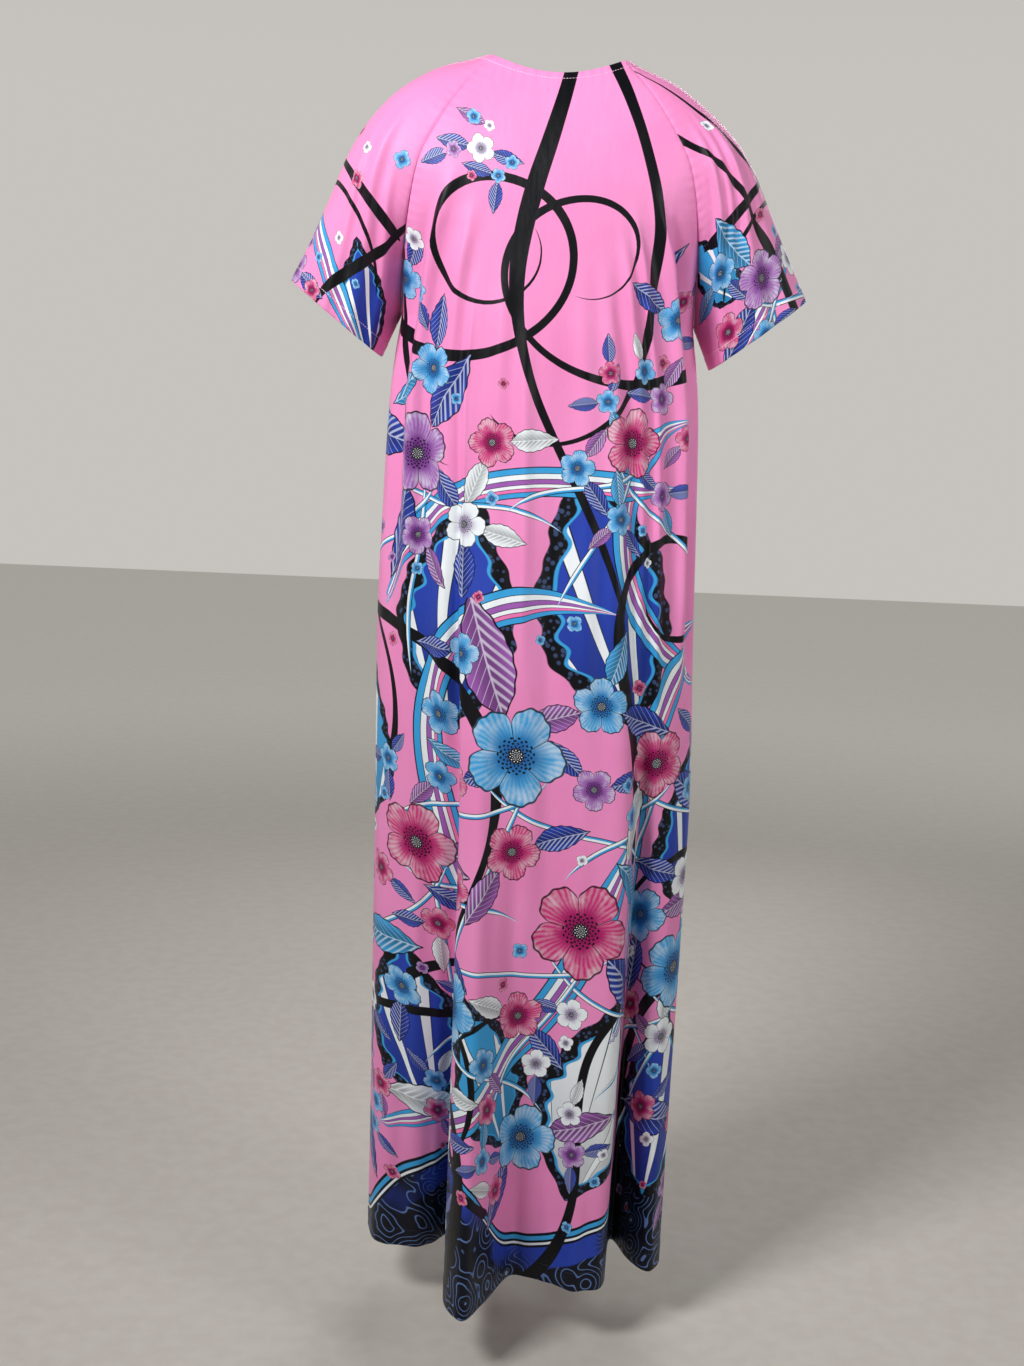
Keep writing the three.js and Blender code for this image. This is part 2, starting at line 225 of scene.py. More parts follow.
soft_lamp("lamp_left", (-1.3, -1.55, 0.95), (0, 0, 0.1), 0.7, 26.5)
soft_lamp("lamp_right", (1.9, -1.4, 0.1), (0, 0, 0), 0.7, 8)
soft_lamp("lamp_far", (0.4, 2.6, 0.4), (0, 0, -0.5), 1.5, 12)

# Back
# The back is one piece of printed polyester knit, cut flared and sewn to the sleeves along the
# raglan seams and to the front at the sides. It hangs straight from the shoulder blades and falls
# in two deep folds to a turned hem.
UNDERARM = 275
LENGTH = 1355
FOLD_TOP = 540
SOFT_DEPTH = 2
CLOTH = 0.7
GROOVE = 0.8
GROOVE_WIDTH = 1.8
ROUNDING = 1.2
HEM_TURN = 22
NECK_TURN = 7.5
BODY_STEP = 6.2
BODY_COLUMNS = 168
QUARTER = 0.5523


def table(names, rows):
    """A table as one array for each named column. It is read by its first column."""
    return dict(zip(names.split(), np.array(rows, float).T))


RAGLAN = "level x y z turn sleeve_turn"
raglan_back = table(RAGLAN, [
    [0, 69, -40, -3, 52, 52], [40, 98, -68, -40, 24, 24], [80, 121, -82, -76, 18, 14],
    [120, 141, -86, -116, 24, 4], [165, 151, -72, -165, 40, -20], [215, 157, -40, -215, 66, -58],
    [275, 160, 6, -275, 82, -90]])
side_line = table("level x y", [
    [275, 160, 6], [318, 166, 5], [360, 170, 4], [470, 174, 2], [600, 177, 0], [760, 178, 0],
    [950, 177, 0], [1150, 175, 0], [1355, 174, 0]])
calm_back = table("level y", [[165, -72], [215, -40], [275, -14], [360, 0], [470, 2]])
centre_back = table("level y z", [
    [0, -62, -22], [40, -82, -60], [80, -95, -99], [120, -102, -137], [165, -106, -180],
    [215, -108, -226], [275, -108, -280], [360, -106, -360], [470, -106, -470], [600, -112, -600],
    [760, -113, -760], [950, -111, -950], [1150, -108, -1150], [1355, -106, -1355]])
hem_back = table("share x y", [
    [-1, -170, 55], [-0.86, -160, 20], [-0.64, -124, 6], [-0.47, -90, 12], [-0.385, -66, 22],
    [-0.35, -69, -60], [-0.315, -70, -122], [-0.27, -52, -164], [-0.2, -28, -130], [-0.07, 6, -62],
    [0.09, 48, -74], [0.21, 84, -92], [0.29, 112, -62], [0.325, 117, 0], [0.365, 122, 40],
    [0.47, 140, 0], [0.63, 160, -30], [0.84, 179, -10], [1, 182, 40]])
soft_back = [
    [-0.8, 0.055, 140, 230, 480, 640, 4, 1.5], [-0.66, 0.05, 110, 180, 480, 640, -2, -4],
    [-0.46, 0.05, 130, 230, 620, 800, 0, -5], [-0.36, 0.03, 200, 330, 520, 640, 0, -2.5],
    [-0.21, 0.045, 190, 330, 640, 800, 0, -4], [-0.1, 0.03, 240, 360, 560, 700, 0, -2.5],
    [0.14, 0.045, 200, 330, 600, 760, 0, -4], [0.25, 0.035, 180, 300, 560, 700, 0, -3.5],
    [0.37, 0.035, 150, 260, 600, 760, 0, -5], [0.47, 0.03, 130, 230, 600, 720, 0, -4],
    [0.64, 0.05, 120, 220, 560, 700, 3, -6], [0.8, 0.055, 140, 230, 560, 700, -8, 2]]


def hermite(xs, ys, slopes, at):
    """Cubic through the table's points with the given slopes, read at any place."""
    at = np.clip(at, xs[0], xs[-1])
    k = np.clip(np.searchsorted(xs, at, side="right") - 1, 0, len(xs) - 2)
    h = xs[k + 1] - xs[k]
    t = (at - xs[k]) / h
    u = 1 - t
    return ((1 + 2 * t) * u * u * ys[k] + t * u * u * h * slopes[k]
            + t * t * (3 - 2 * t) * ys[k + 1] - t * t * u * h * slopes[k + 1])


def steady(rows, name, at):
    """Reads a column without overshooting it. A slope is the weighted harmonic mean of the steps on
    each side, or 0 where they differ in sign."""
    xs, ys = next(iter(rows.values())), rows[name]
    gaps = np.diff(xs)
    steps = np.diff(ys) / gaps
    before = 2 * gaps[1:] + gaps[:-1]
    after = gaps[1:] + 2 * gaps[:-1]
    same = steps[:-1] * steps[1:] > 0
    safe = np.where(same, steps[:-1], 1), np.where(same, steps[1:], 1)
    inner = np.where(same, (before + after) / (before / safe[0] + after / safe[1]), 0)
    return hermite(xs, ys, np.concatenate([steps[:1], inner, steps[-1:]]), at)


def rounded(rows, name, at):
    """Reads a column with every corner rounded. A slope is that of the parabola through a point and
    its two neighbours."""
    xs, ys = next(iter(rows.values())), rows[name]
    return hermite(xs, ys, np.gradient(ys, xs), at)


def bezier(a, b, c, d, t):
    """Cubic Bezier curve from a to d, pulled by b and c. QUARTER is the pull of a quarter circle."""
    u = 1 - t
    return u * u * u * a + 3 * u * u * t * b + 3 * u * t * t * c + t * t * t * d


def ease(t):
    """Smooth step from 0 to 1."""
    t = np.clip(t, 0, 1)
    return t * t * (3 - 2 * t)


def soft_push(folds, level, share):
    """Sum of the soft folds, twice as deep as in the CAD walls, as a push in x and in y. A fold is a
    bell across the share scale, with its place and half width, the levels where it starts, is full,
    begins to fade and ends, and its push."""
    push = np.zeros((2,) + np.broadcast_shapes(level.shape, share.shape))
    for at, half, start, full, fade, end, dx, dy in folds:
        bell = np.exp(-((share - at) / half) ** 2) * ease((level - start) / (full - start))
        bell = bell * (1 - ease((level - fade) / (end - fade)))
        push[0] += SOFT_DEPTH * bell * dx
        push[1] += SOFT_DEPTH * bell * dy
    return push


def drape(level, share, phase):
    """Slight upright waves from the shoulder blades to the hem: three sines across the share scale
    whose places wander down the cloth."""
    down = ease((level - 200) / 260)
    waves = (3.2 * np.sin(21 * share + 1.3 * np.sin(level / 230 + phase) + phase)
             + 2.0 * np.sin(35 * share - level / 260 + 2 * phase)
             + 0.6 * np.sin(61 * share + level / 150 + 3 * phase))
    return down * waves * (1 - share ** 2) ** 1.5


def walked(points):
    """Length along each row of points, from 0 at its first point."""
    steps = np.linalg.norm(np.diff(points, axis=-2), axis=-1)
    return np.insert(np.cumsum(steps, axis=-1), 0, 0, axis=-1)


def body_surface(level, share, raglan, calm, centre, hem, soft, sign):
    """Back or front as an array of points in millimetres. Each level is a quarter arc from the
    centre line to the seam on each side, and below FOLD_TOP it turns into the plan of the hem:
    depth by the power 1.25 of the way down, and width by a smooth step."""
    level, share = np.broadcast_arrays(level, share)
    high = level < UNDERARM
    up = np.minimum(level, UNDERARM)
    sx = np.where(high, steady(raglan, "x", up), steady(side_line, "x", level))
    sy = np.where(high, steady(raglan, "y", up), steady(side_line, "y", level))
    sz = np.where(high, steady(raglan, "z", up), -level)
    inside = (level > calm["level"][0]) & (level < calm["level"][-1])
    ry = np.where(inside, steady(calm, "y", level), sy)
    turns = {"level": np.append(raglan["level"], 360), "turn": np.append(raglan["turn"], 90)}
    turn = np.radians(steady(turns, "turn", level))
    cy = rounded(centre, "y", level)
    cz = rounded(centre, "z", level)
    t = np.abs(share)
    way = np.sign(share)
    full = turn / (np.pi / 2)
    near = sx * (0.4 + 0.15 * full)
    far = 0.33 * (1 - full) * np.hypot(sx, ry - cy) + QUARTER * full * np.abs(ry - cy)
    x = bezier(0, near, sx - far * np.cos(turn), sx, t)
    y = bezier(cy, cy, ry + sign * far * np.sin(turn), ry, t) + (sy - ry) * t ** 8
    z = cz + (sz - cz) * (x / sx) ** 2
    q = np.clip((level - FOLD_TOP) / (LENGTH - FOLD_TOP), 0, 1)
    late = ease(q / 0.38)
    lean = 0.5 * ease((level - 140) / 420) + 0.5 * late
    wide, deep = side_line["x"][-1], centre["y"][-1]
    spread = np.where(way < 0, hem["x"][0] + wide, np.where(way > 0, hem["x"][-1] - wide, 0))
    base_x = way * bezier(0, 0.55 * wide, wide, wide, t)
    base_y = bezier(deep, deep, (1 - QUARTER) * deep, 0, t)
    x = way * x + lean * (rounded(hem, "x", share) - base_x - spread * t ** 3)
    x = x + late * spread * t ** 3
    y = y + q ** 1.25 * (rounded(hem, "y", share) - base_y)
    push = soft_push(soft, level, share)
    return np.stack([x + push[0], y + push[1] + drape(level, share, 1.0 * sign), z], -1)


def fine_levels(end, step, hem_turn):
    """Rows from the neck edge to the hem, close together at the neck's turning, at the hem's
    stitch line and at both edges."""
    top = [0, 0.4, 1.2, 2.6, 4.6, NECK_TURN - 0.8, NECK_TURN, NECK_TURN + 0.8, NECK_TURN + 3]
    low = end - hem_turn
    middle = np.arange(top[-1] + step, low - 4, step)
    bottom = [low - 2, low - 0.8, low, low + 0.8, low + 3, (low + end) / 2, end - 4, end - 1.4,
              end - 0.4, end]
    return np.concatenate([top, middle, bottom])


def body_grid(**cut):
    """Back or front on its grid. Its columns are spread by a mix of the share scale and the length
    of the hem edge, with four narrow ones beside each seam."""
    fine = np.linspace(-1, 1, 1601)
    edge = walked(body_surface(np.array([[float(LENGTH)]]), fine[None], **cut)[0])
    marks = 0.6 * edge / edge[-1] + 0.4 * (fine + 1) / 2
    inner = np.interp(np.linspace(0, 1, BODY_COLUMNS)[1:-1], marks, fine)
    beside = np.array([0, 0.003, 0.007, 0.012, 0.018])
    inner = inner[np.abs(inner) < 0.975]
    shares = np.concatenate([beside - 1, inner, 1 - beside[::-1]])
    return body_surface(body_levels[:, None], shares[None], **cut)


def outward(points, flip):
    """Unit vectors out of the cloth: the cross product of the steps down and across the grid."""
    normal = np.cross(np.gradient(points, axis=0), np.gradient(points, axis=1))
    normal /= np.linalg.norm(normal, axis=-1, keepdims=True)
    return -normal if flip else normal


def smooth_piece(name, points, faces):
    """A new object with a smooth mesh, from points in millimetres and the corners of its faces."""
    mesh = bpy.data.meshes.new(name)
    mesh.from_pydata((points.reshape(-1, 3) / 1000).tolist(), [], faces)
    mesh.polygons.foreach_set("use_smooth", np.ones(len(faces), bool))
    mesh.update()
    return put(name, mesh)


def cloth_shell(name, points, levels, hem_turn, flip):
    """A closed thin shell on a grid of points in millimetres. It sinks by GROOVE times a bell of the
    distance beside the sewn edges. It is CLOTH thick, and three times that where neck edge and hem
    are turned. The free edges are rounded to a quarter circle."""
    rows, columns = points.shape[:2]
    end = levels[-1]
    normal = outward(points, flip)
    beside = np.linalg.norm(points - points[:, :1], axis=-1)
    beside = np.minimum(beside, np.linalg.norm(points - points[:, -1:], axis=-1))
    sunk = -GROOVE * np.exp(-(beside / GROOVE_WIDTH) ** 2)[..., None]
    level = levels[:, None, None]
    turned = 1 - ease((level - NECK_TURN) / 1.2 + 0.5) + ease((level - end + hem_turn) / 1.6 + 0.5)
    from_edge = np.minimum(np.minimum(level, end - level) / ROUNDING, 1)
    round_over = 1 - np.sqrt(1 - (1 - from_edge) ** 2)
    half = 0.5 * CLOTH * (1 + 2 * turned)
    outer = points + normal * (sunk + 0.5 * CLOTH * turned - half * round_over)
    inner = points + normal * (sunk + 0.5 * CLOTH * turned - 2 * half + half * round_over)
    index = np.arange(rows * columns).reshape(rows, columns)
    shift = rows * columns

    def strip(side):
        return np.stack([side[:-1], side[1:], side[1:] + shift, side[:-1] + shift], -1)

    skin = [index[:-1, :-1], index[1:, :-1], index[1:, 1:], index[:-1, 1:]]
    skin = np.stack(skin, -1).reshape(-1, 4)
    rim = np.concatenate([strip(index[0]), strip(index[-1])[:, ::-1],
                          strip(index[:, 0])[:, ::-1], strip(index[:, -1])])
    faces = np.concatenate([skin, skin[:, ::-1] + shift, rim])
    if flip:
        faces = faces[:, ::-1]
    wrong_side = np.concatenate([np.zeros(len(skin)), np.ones(len(skin)), np.zeros(len(rim))])
    return smooth_piece(name, np.stack([outer, inner]), faces.tolist()), faces, wrong_side


def cloth_places(points, levels):
    """Where each grid point lies on the flat cloth, in millimetres: across by the length along its
    level from the middle column, and down by its level."""
    across = walked(points)
    across -= across[:, points.shape[1] // 2][:, None]
    return np.stack([across, np.broadcast_to(levels[:, None], across.shape)], -1)


STEM, RIBBON, CANE = 0, 1, 2
LINE_POINTS = 90
CLEAR = 99.0


def line(u, v, heading, length, bends, wide, kind=STEM):
    """A printed stem, ribbon or cane as points (across, down, half width, kind). The bends are
    degrees per 100 mm at evenly spaced places. A stem thins as the root of what is left of it and
    swells in a slow sine; the others keep their width between two pointed ends."""
    along = np.linspace(0, 1, LINE_POINTS)
    step = length / (LINE_POINTS - 1)
    bend = np.interp(along, np.linspace(0, 1, len(bends)), bends)
    angle = np.radians(heading + np.cumsum(bend) * step / 100)
    us = u + np.cumsum(np.cos(angle)) * step
    vs = v + np.cumsum(np.sin(angle)) * step
    half = wide * (1 - along) ** 0.5 * (1 + 0.22 * np.sin(10 * along + u))
    if kind != STEM:
        half = wide * np.minimum(1, np.minimum(0.35 + along * 4, (1 - along) * 5 + 0.02))
    return np.stack([us, vs, half, np.full(LINE_POINTS, float(kind))], -1)


def canes(centres):
    """Stalks of bouquets in three layers, one in each layer from every centre, that run down in an S
    and draw together. centres are rows of (across, down, reach)."""
    return [[line(u + lean * reach * 0.35, v + reach * 0.3, 90 + lean * 40 + way * 10, reach * 2.7,
                  [lean * 50 + way * 8, lean * 34, -lean * 30, -lean * 60], 3.4, CANE)
             for (u, v, reach), way in zip(centres, [-1, 1, 0.4, -0.5] * len(centres))]
            for lean in (-1, 0.3, 1)]


def line_layer(places, faces, lines):
    """For every corner of every face: the signed distance to one line, the line's half width there
    and its kind. A face takes the line that reaches furthest over its middle, and a face with none
    gets a distance of CLEAR."""
    if not lines:
        return np.broadcast_to([CLEAR, 1, 0], faces.shape + (3,))
    flat = places.reshape(-1, 2)
    found = np.zeros((len(lines), len(flat), 3))
    found[..., 0] = CLEAR
    for number, points in enumerate(lines):
        start, run = points[:-1, :2], np.diff(points[:, :2], axis=0)
        low, high = start.min(0) - 40, start.max(0) + 40
        round_it = np.flatnonzero(((flat > low) & (flat < high)).all(1))
        best = np.full(len(round_it), 1e9)
        for k in range(len(run)):
            out = flat[round_it] - start[k]
            t = np.clip((out @ run[k]) / (run[k] @ run[k]), 0, 1)
            gap = out - t[:, None] * run[k]
            away = np.hypot(gap[:, 0], gap[:, 1])
            near = away < best
            best[near] = away[near]
            side = np.sign(run[k][0] * out[:, 1] - run[k][1] * out[:, 0])
            half = points[k, 2] + t * (points[k + 1, 2] - points[k, 2])
            values = np.stack([away * side, half, np.full(len(t), points[k, 3])], -1)
            found[number, round_it[near]] = values[near]
    reach = (np.abs(found[..., 0]) - found[..., 1])[:, faces]
    choice = reach.mean(-1).argmin(0)
    layer = found[choice[:, None], faces]
    layer[reach.min(-1).min(0) > 4] = (CLEAR, 1, 0)
    return layer


def motif_layer(places, faces, motifs, narrow):
    """For every corner of every face: its place in the nearest motif, turned and in units of the
    motif's half size, and the motif's seed, with its tint apart. motifs are rows of (across, down,
    angle, half size, seed, tint). Faces outside every motif get a place far away."""
    flat = places.reshape(-1, 2)
    middle = flat[faces].mean(1)
    tints = np.array([row[5][:3] for row in motifs])
    motifs = np.array([row[:5] for row in motifs])
    turn = np.radians(motifs[:, 2])
    cos, sin, size = np.cos(turn), np.sin(turn), motifs[:, 3]

    def turned(places, k):
        x, y = np.moveaxis(places - motifs[k, :2], -1, 0) / size[k]
        return x * cos[k] + y * sin[k], y * cos[k] - x * sin[k]

    best = np.full(len(faces), 1e9)
    choice = np.zeros(len(faces), int)
    for k in range(len(motifs)):
        x, y = turned(middle, k)
        away = np.hypot(x, y / narrow)
        near = away < best
        best[near] = away[near]
        choice[near] = k
    x, y = turned(flat[faces], choice[:, None])
    seed = np.broadcast_to(motifs[choice, 4][:, None], x.shape)
    local = np.stack([x, y, seed], -1)
    local[(best - 1.1) * size[choice] > 6] = (0, 9, 0)
    return local, np.broadcast_to(tints[choice, None], local.shape)


def bouquets(random, centres):
    """Blossoms in bouquets: one large bloom at each centre (across, down, reach) and up to 14 small
    ones round it, each clear of those before it."""
    rows = []
    for u, v, reach in centres:
        sizes = [(0.6 * reach, 0)]
        sizes += [(random.uniform(0.2, 0.38) * reach, random.uniform(0.75, 1.3) * reach)
                  for _ in range(14)]
        for size, away in sizes:
            angle = random.uniform(0, 2 * math.pi)
            a, b = u + away * math.cos(angle), v + away * math.sin(angle)
            tint = bright[int(random.integers(len(bright)))]
            seed = random.uniform(0.05, 0.95)
            if all(math.hypot(a - row[0], b - row[1]) > size + row[3] for row in rows):
                rows.append([a, b, random.uniform(0, 360), size, seed, tint])
    return rows


SKY = colour(58, 160, 220)
ROYAL = colour(40, 66, 172)
PURPLE = colour(158, 92, 176)
MAGENTA = colour(204, 40, 120)
WHITE = colour(236, 242, 246)
INK = colour(9, 10, 15)
NAVY = colour(10, 14, 27)
PINK = colour(236, 120, 180)
GROUND = colour(240, 146, 200)
LINE_LAYERS = 9
LEAF_SHARE = 0.7
bright = [SKY, SKY, PURPLE, MAGENTA, MAGENTA, WHITE]
leaf_tints = [ROYAL, ROYAL, SKY, PURPLE, ROYAL, WHITE]
bud_tints = [SKY, WHITE, PURPLE, MAGENTA]


def leaves_by(random, blooms):
    """Up to three leaves for a bloom, pointing away from it, each clear of the other leaves. Three
    circles along a leaf stand for its outline."""
    rows = []
    circles = np.full((1, 3), 1e6)
    for u, v, _, size, *_ in blooms:
        first = random.uniform(0, 360)
        for angle in (first, first + random.uniform(75, 150), first + random.uniform(190, 260)):
            reach = max(size * random.uniform(0.9, 1.2), 17)
            away = size * 0.7 + reach
            turn = math.radians(angle)
            tint = leaf_tints[int(random.integers(len(leaf_tints)))]
            along = away + reach * np.array([-0.55, 0, 0.5])
            own = np.stack([u + along * math.cos(turn), v + along * math.sin(turn),
                            reach * np.array([0.36, 0.42, 0.3])], -1)
            gaps = np.hypot(own[:, None, 0] - circles[:, 0], own[:, None, 1] - circles[:, 1])
            wanted = random.uniform() < LEAF_SHARE
            if wanted and (gaps > own[:, None, 2] + circles[:, 2]).all():
                circles = np.concatenate([circles, own])
                rows.append([*own[1, :2], angle, reach, random.uniform(0.05, 0.95), tint])
    return rows


def small_buds(random, count, widths, low, high, tints, blooms):
    """Tiny flowers thrown over a panel between two levels, clear of the blooms and of each other.
    widths are levels and half the width of the flat panel at each."""
    rows = []
    for _ in range(count):
        size = random.uniform(6, 11)
        v = random.uniform(low, high)
        u = random.uniform(-1, 1) * np.interp(v, *widths)
        tint = tints[int(random.integers(len(tints)))]
        if all(math.hypot(u - row[0], v - row[1]) > size + row[3] for row in blooms + rows):
            rows.append([u, v, random.uniform(0, 360), size, random.uniform(0.05, 0.95), tint])
    return rows


def print_layers(mesh, faces, wrong_side, points, levels, design):
    """Writes onto the mesh's face corners each layer of the design, the flat place in metres with
    the wrong side of the cloth, and the distances to the sewn and to the free edges."""
    places = cloth_places(points, levels)
    flat_faces = faces % (places.size // 2)

    def write(name, values):
        layer = mesh.attributes.new(name, "FLOAT_VECTOR", "CORNER")
        layer.data.foreach_set("vector", np.ascontiguousarray(values, np.float32).ravel())

    flat = places.reshape(-1, 2)[flat_faces] / 1000
    side = np.broadcast_to(wrong_side[:, None], flat.shape[:2])
    write("cloth", np.concatenate([flat, side[..., None]], -1))
    across, down = places[..., 0], places[..., 1]
    seam = np.minimum(across - across[:, :1], across[:, -1:] - across)
    edge = np.minimum(down, down[-1] - down)
    write("edges", np.stack([seam, edge, 0 * edge], -1).reshape(-1, 3)[flat_faces] / 1000)
    for number, lines in enumerate(design["lines"]):
        write(f"lines_{number}", line_layer(places, flat_faces, lines))
    for name, narrow in (("palm", 0.68), ("leaf", 0.62), ("bud", 1.0), ("bloom", 1.0)):
        local, tint = motif_layer(places, flat_faces, design[name], narrow)
        write(name, local)
        write(name + "_tint", tint)


def blossom(root, base, name, petals, ruffle):
    """Paints open blossoms over the colour base. The rim is a rounded wave with one crest a petal,
    roughened by finer waves. The petals are pale at their tips and deep at their foot, round a dark
    dotted heart."""
    x, y, seed = root.read(name).parts()
    tint = root.read(name + "_tint", out=0)
    radius = (x * x + y * y) ** 0.5
    angle = y.math("ARCTAN2", x)
    lobe = abs((angle * (petals / 2)).math("COSINE"))
    rough = (angle * 23 + seed * 40).math("SINE") + (angle * 9 + seed * 70).math("SINE")
    rim = lobe ** 0.5 * 0.36 + 0.58 + rough * ruffle
    gap = rim - radius
    grain = root.node("ShaderNodeTexNoise", {"noise_dimensions": "4D"},
                      {"Vector": root.node("ShaderNodeCombineXYZ", {}, {0: x, 1: y}), "W": seed * 30,
                       "Scale": 3.2, "Detail": 3.0})
    streak = (angle * 46 + grain * 9).math("SINE") * 0.5 + 0.5
    deep = tint.toward((0.42, 0.3, 0.5, 1), 1.0, "MULTIPLY")
    reach = radius / rim
    paint = reach.ease(0.1, 0.75).mix(deep, tint)
    shine = reach.ease(0.35, 0.85) * (streak * 0.45 + grain.ease(0.42, 0.62) * 0.55)
    paint = (shine * 0.55).mix(paint, WHITE)
    lines = (lobe * radius).under(0.02, 0.012) * radius.over(0.2, 0.05)
    lines = lines.math("MAXIMUM", gap.under(0.04, 0.012))
    paint = (lines * 0.9).mix(paint, INK)
    dots = (angle * 15).math("SINE") * (radius * 62).math("SINE")
    heart = radius.under(0.15, 0.02).math("MAXIMUM", dots.over(0.35, 0.1) * radius.under(0.36, 0.02))
    paint = heart.mix(paint, INK)
    speck = (angle * 11).math("SINE") * (radius * 90).math("COSINE")
    paint = (speck.over(0.5, 0.1) * radius.under(0.13, 0.02)).mix(paint, WHITE)
    return gap.over(0, 0.012).mix(base, paint)


def leaf(root, base, name):
    """Paints pointed leaves over the colour base. The half width is a parabola, fuller towards the
    stalk. One half is paler, and slanting ribs run from the midrib to the edge."""
    x, y, seed = root.read(name).parts()
    tint = root.read(name + "_tint", out=0)
    wavy = (x * 21 + seed * 30).math("SINE") * 0.012
    gap = (1 - x * x) * (0.42 - x * 0.13) + wavy - abs(y)
    run = x * 5 + abs(y) * 6.75
    wave = (run * (2 * math.pi)).math("SINE")
    pale = tint.toward(WHITE, 0.55)
    paint = (abs(y) / 0.4).ease(0.1, 1).mix(tint.toward(INK, 0.5), tint)
    paint = (y.over(0, 0.02) * wave.ease(-0.2, 0.9) * 0.8).mix(paint, pale)
    lines = wave.over(0.965, 0.03).math("MAXIMUM", abs(y).under(0.014, 0.01))
    paint = (lines * 0.85).mix(paint, pale)
    paint = gap.under(0.03, 0.012).mix(paint, INK)
    return gap.over(0, 0.012).mix(base, paint)


def palm(root, base, name):
    """Paints great leaves over the colour base: a leaf's outline, stripes that fan out from the
    stalk, and a dark pebbled border with a blue line inside it."""
    x, y, seed = root.read(name).parts()
    tint = root.read(name + "_tint", out=0)
    wavy = (x * 33 + seed * 30).math("SINE") * 0.012 + (x * 13 + seed * 50).math("SINE") * 0.02
    gap = (1 - x * x) * (0.56 - x * 0.18) + wavy - abs(y)
    wave = (y.math("ARCTAN2", x + 1.3) * 21 + seed * 6).math("COSINE")
    paint = x.ease(-1, 0.3).mix(tint.toward(INK, 0.35), tint)
    paint = wave.over(0.78, 0.04).mix(wave.over(0.7, 0.04).mix(paint, INK), WHITE)
    pebbles = root.node("ShaderNodeTexVoronoi", {}, {
        "Vector": root.node("ShaderNodeCombineXYZ", {}, {0: x, 1: y, 2: seed}), "Scale": 21.0})
    border = pebbles.over(0.36, 0.1).mix(colour(56, 72, 108), INK)
    width = (x * 27 + seed * 20).math("SINE") * 0.025 + 0.13
    paint = (gap - width).under(0.03, 0.01).mix(paint, SKY)
    paint = (gap - width).under(0.0, 0.01).mix(paint, border)
    return gap.over(0, 0.01).mix(base, paint)


def printed_lines(root, base, name):
    """Paints black stems, ribbons striped in blue, white and purple with fine black lines between,
    and thin canes that are blue on one side and white on the other."""
    away, half, kind = root.read(name).parts()
    across = away / half * 0.5 + 0.5

    def striped(stops):
        return root.node("ShaderNodeValToRGB", {"stops": stops}, {0: across})

    ribbon = striped([(0, INK), (0.04, SKY), (0.22, INK), (0.24, WHITE), (0.4, INK), (0.42, PURPLE),
                      (0.56, INK), (0.58, WHITE), (0.68, INK), (0.7, PINK), (0.8, INK), (0.82, SKY),
                      (0.96, INK)])
    cane = striped([(0, INK), (0.16, SKY), (0.46, WHITE), (0.84, INK)])
    paint = kind.over(1.5, 0.1).mix(kind.over(0.5, 0.1).mix(INK, ribbon), cane)
    return (half - abs(away)).over(0.25, 0.5).mix(base, paint)


def printed_knit():
    """The printed polyester knit: a pink ground, hem band, stems, leaves and blossoms in that order,
    pale on the wrong side, with fine ribs and soft creases in its relief."""
    material, root, shader = start_material("printed_knit", {
        "Specular IOR Level": 0.22, "Sheen Weight": 0.02, "Sheen Roughness": 0.4})
    cloth = root.read("cloth")
    across, down, wrong = cloth.parts()
    patchy = root.noise(cloth, 9.0, 3.0)
    base = patchy.ease(0.3, 0.7).mix(GROUND, colour(236, 138, 193))
    edge = ((across * 11.5 + 0.6).math("SINE") * 0.075 + (across * 27 + 2).math("SINE") * 0.02
            + (across * 5.3 + 1).math("COSINE") * 0.04 + 1.215)
    below = (down - edge) * 1000
    cells = root.node("ShaderNodeTexVoronoi", {"feature": "SMOOTH_F1"},
                      {"Vector": cloth, "Scale": 30.0, "Smoothness": 0.35})
    rings = (cells * 46).math("SINE")
    band = rings.over(0.86, 0.2).mix(NAVY, colour(92, 122, 178))
    band = cells.under(0.09, 0.02).mix(band, colour(150, 168, 190))
    band = (below.under(46, 2) * root.noise(cloth, 6.0).ease(0.45, 0.6)).mix(band, ROYAL)
    piping = (0, 3.5, INK), (3.5, 9, SKY), (9, 12, INK), (12, 15, WHITE), (15, 18, INK)
    for start, end, tint in piping:
        band = (below.over(start, 0.6) * below.under(end, 0.6)).mix(band, tint)
    base = below.over(0, 0.6).mix(base, band)
    base = palm(root, base, "palm")
    for number in range(LINE_LAYERS):
        base = printed_lines(root, base, f"lines_{number}")
    base = leaf(root, base, "leaf")
    base = blossom(root, base, "bud", 4, 0.02)
    base = blossom(root, base, "bloom", 5, 0.014)
    base = wrong.mix(base, base.toward(colour(240, 196, 220), 0.62))
    feed(base, shader, "Base Color")
    feed(patchy * 0.1 + 0.35, shader, "Roughness")
    ribs = (across * (2 * math.pi / 0.0013)).math("SINE")
    ribs = ribs * (down * (2 * math.pi / 0.0017)).math("SINE")
    place = root.node("ShaderNodeVectorMath", {"operation": "MULTIPLY"}, {
        0: root.node("ShaderNodeTexCoord", {}, {}, out=3), 1: (1, 1, 0.3)})
    crease = root.noise(place, 24.0, 4.0)
    seam, edge, _ = root.read("edges").parts()
    wander = crease * 9
    pucker = (down * 620 + wander).math("SINE") * (seam * -110).math("EXPONENT")
    pucker = pucker + (across * 540 + wander).math("SINE") * (edge * -60).math("EXPONENT")
    height = crease + pucker * 0.1 + root.noise(cloth, 210.0) * 0.035
    relief = root.node("ShaderNodeBump", {}, {"Strength": 0.6, "Distance": 0.004, "Height": height})
    relief = root.node("ShaderNodeBump", {}, {"Strength": 0.35, "Distance": 0.00015, "Height": ribs,
                                              "Normal": relief})
    feed(relief, shader, "Normal")
    return material


